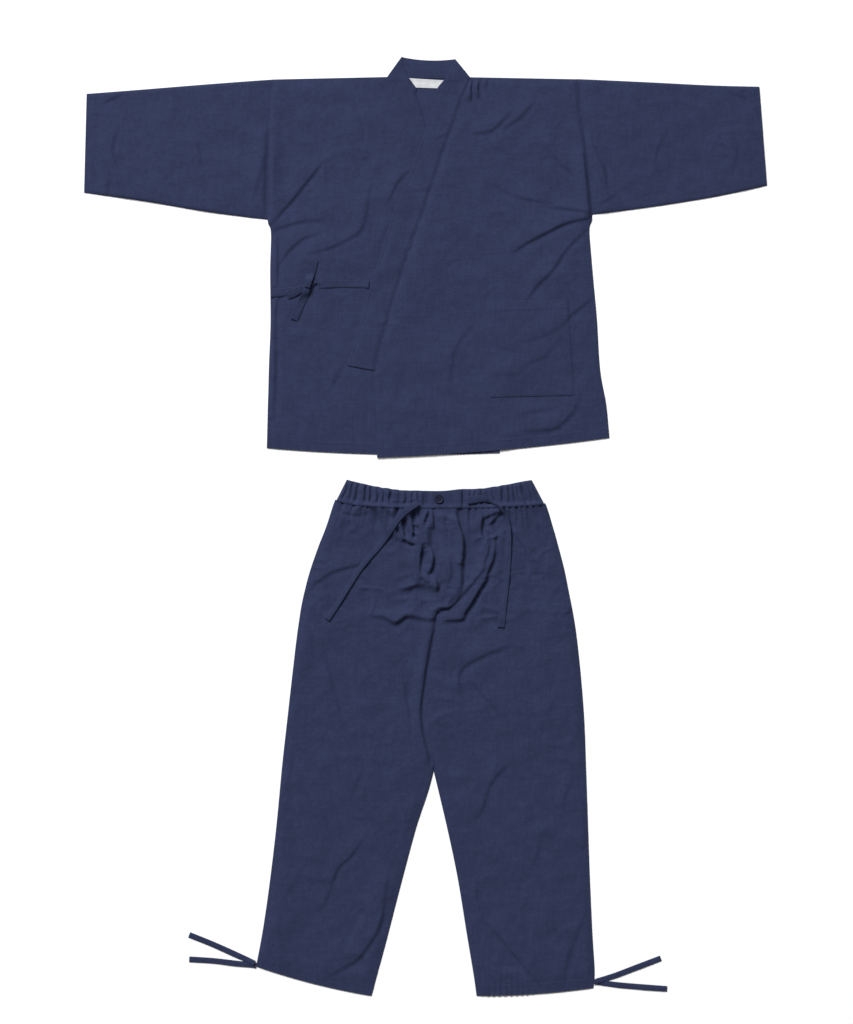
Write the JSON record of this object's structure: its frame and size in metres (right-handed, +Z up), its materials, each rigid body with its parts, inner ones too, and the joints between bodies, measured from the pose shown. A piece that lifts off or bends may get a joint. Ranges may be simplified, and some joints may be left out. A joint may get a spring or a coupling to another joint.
{
  "type": "samue set",
  "caption": "Flat-laid cotton samue: wrapped jacket with collar band, side bow and pocket, and trousers with gathered waist, drawstring and ankle ties.",
  "frame": {"origin": "on the floor under the middle of the whole layout", "axes": "+Z up off the floor, +Y towards the neck of the jacket, +X towards the wearer's left sleeve, seen from above on the right"},
  "size_m": [1.338, 1.841, 0.0123],
  "materials": {
    "navy_cotton": "matt plain-woven navy cotton, soft creases",
    "navy_band": "matt navy cotton, doubled and topstitched",
    "navy_tape": "matt navy cotton, folded and edge-stitched tape",
    "white_label": "white woven satin tape, bare",
    "navy_button": "dark navy four-hole button, soft gloss"
  },
  "bodies": {
    "root": {"jacket_back": "navy_cotton", "jacket_front_right": "navy_cotton", "jacket_front_left": "navy_cotton", "jacket_sleeve_right": "navy_cotton", "jacket_sleeve_left": "navy_cotton", "jacket_pocket": "navy_cotton", "collar_neck": "navy_band", "collar_right": "navy_band", "collar_left": "navy_band", "neck_label": "white_label", "tie_side": "navy_tape", "tie_collar": "navy_tape", "tie_tail_upper": "navy_tape", "tie_tail_lower": "navy_tape", "tie_loop": "navy_tape", "tie_knot": "navy_tape", "trousers_back_right": "navy_cotton", "trousers_back_left": "navy_cotton", "trousers_front_right": "navy_cotton", "trousers_front_left": "navy_cotton", "waistband_back": "navy_band", "waistband_front_left": "navy_band", "waistband_front_right": "navy_band", "waist_button": "navy_button", "drawstring_right": "navy_tape", "drawstring_left": "navy_tape", "hem_tie_right_lower": "navy_tape", "hem_tie_right_upper": "navy_tape", "hem_tie_left_lower": "navy_tape", "hem_tie_left_upper": "navy_tape"}
  },
  "joints": []
}
